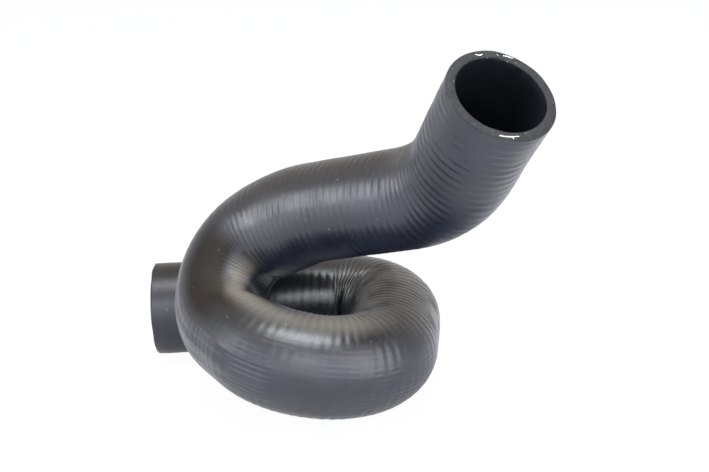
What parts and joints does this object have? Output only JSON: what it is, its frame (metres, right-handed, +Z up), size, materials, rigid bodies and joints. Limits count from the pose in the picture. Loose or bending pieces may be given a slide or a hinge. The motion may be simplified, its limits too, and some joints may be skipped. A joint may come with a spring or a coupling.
{
  "type": "radiator hose",
  "caption": "Moulded black rubber coolant hose with a smooth stub end, a coil of about one turn, an upper arm and an elbow up to an open mouth, with a bore right through",
  "frame": {"origin": "middle of the overall box in plan, at ground level", "axes": "Z up; the stub end is level and opens toward -X; the first bend turns toward -Y, the side it is seen from; it lies as it comes to rest"},
  "size_m": [0.2348, 0.1892, 0.211],
  "materials": {
    "hose_rubber": "satin"
  },
  "bodies": {
    "root": {"radiator_hose": "hose_rubber"}
  },
  "joints": []
}
